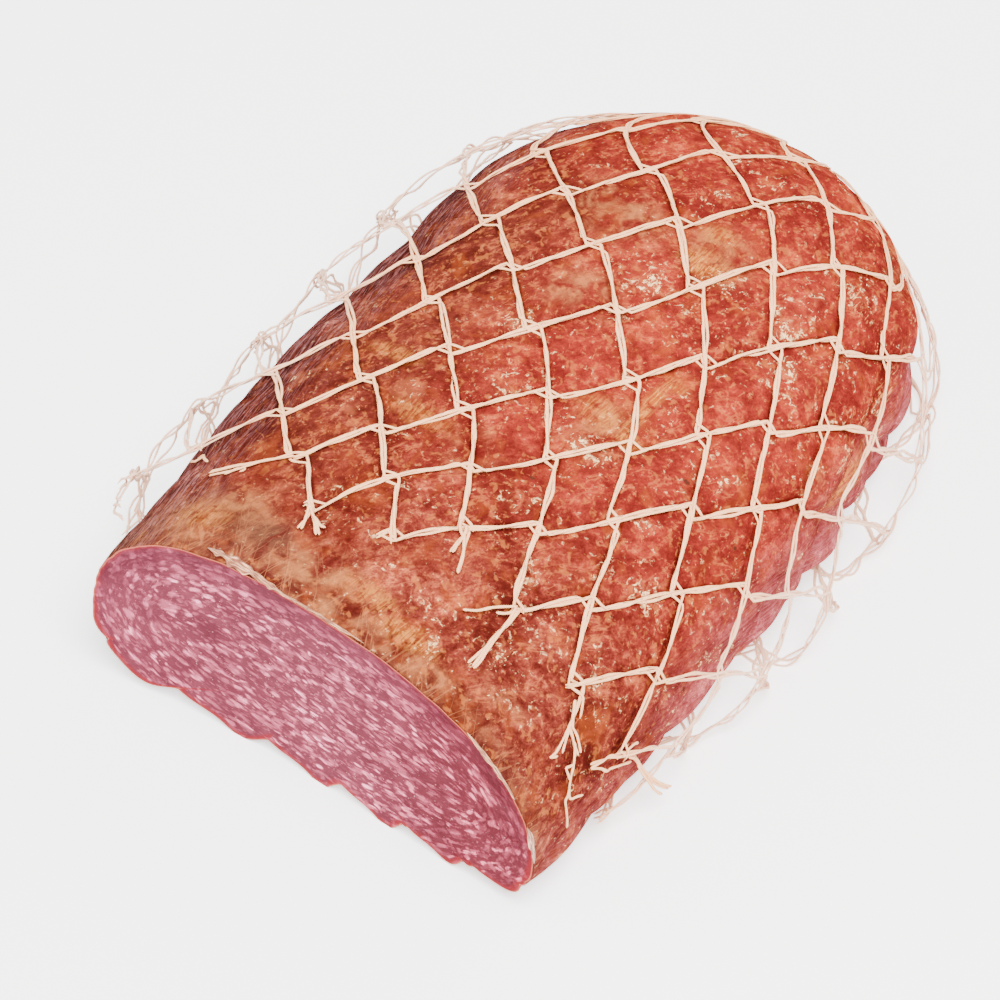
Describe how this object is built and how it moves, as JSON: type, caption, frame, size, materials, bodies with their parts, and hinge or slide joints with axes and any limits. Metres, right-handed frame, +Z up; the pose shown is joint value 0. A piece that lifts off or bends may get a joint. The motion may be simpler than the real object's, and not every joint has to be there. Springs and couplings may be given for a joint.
{
  "type": "baguette salami",
  "caption": "Half of a flat pressed salami in its casing, cut straight across to show the mince, with the pale string net cut back behind the cut.",
  "frame": {"origin": "middle of the underside that the salami lies on", "axes": "+Z up, +Y from the cut face to the rounded end, +X to the right of someone who looks at the cut face"},
  "size_m": [0.1548, 0.2154, 0.0712],
  "materials": {
    "casing": "thin translucent casing, satin, red-brown with tan patches and pale flecks",
    "cut_meat": "moist cut mince, rose pink with pale fat grains",
    "net_string": "matt cream knitted string"
  },
  "bodies": {
    "root": {"salami": "casing", "net": "net_string"}
  },
  "joints": []
}
